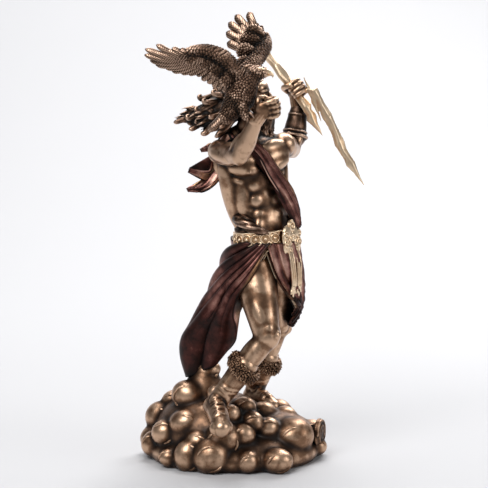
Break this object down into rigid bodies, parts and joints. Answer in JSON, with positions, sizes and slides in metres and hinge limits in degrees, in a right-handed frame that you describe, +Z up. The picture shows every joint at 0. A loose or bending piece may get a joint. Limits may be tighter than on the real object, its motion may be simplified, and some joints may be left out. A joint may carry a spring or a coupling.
{
  "type": "mythological figurine",
  "caption": "Cast, bronze-finished statue of the Greek sky god striding over clouds, with an eagle on his forearm and a thunderbolt in his fist.",
  "frame": {"origin": "middle of the flat underside of the clouds", "axes": "+Z up, +X the way the figure strides, -Y towards its right side, which is the side on show"},
  "size_m": [0.1522, 0.1203, 0.297],
  "materials": {
    "antique_bronze": "cold-cast resin with bronze powder, dark patina in the recesses, rubbed bright on the high places",
    "gilt_bronze": "gilt, satin, dark in the recesses"
  },
  "bodies": {
    "root": {"figure_on_clouds": "antique_bronze", "eagle": "antique_bronze", "thunderbolt": "gilt_bronze"}
  },
  "joints": []
}
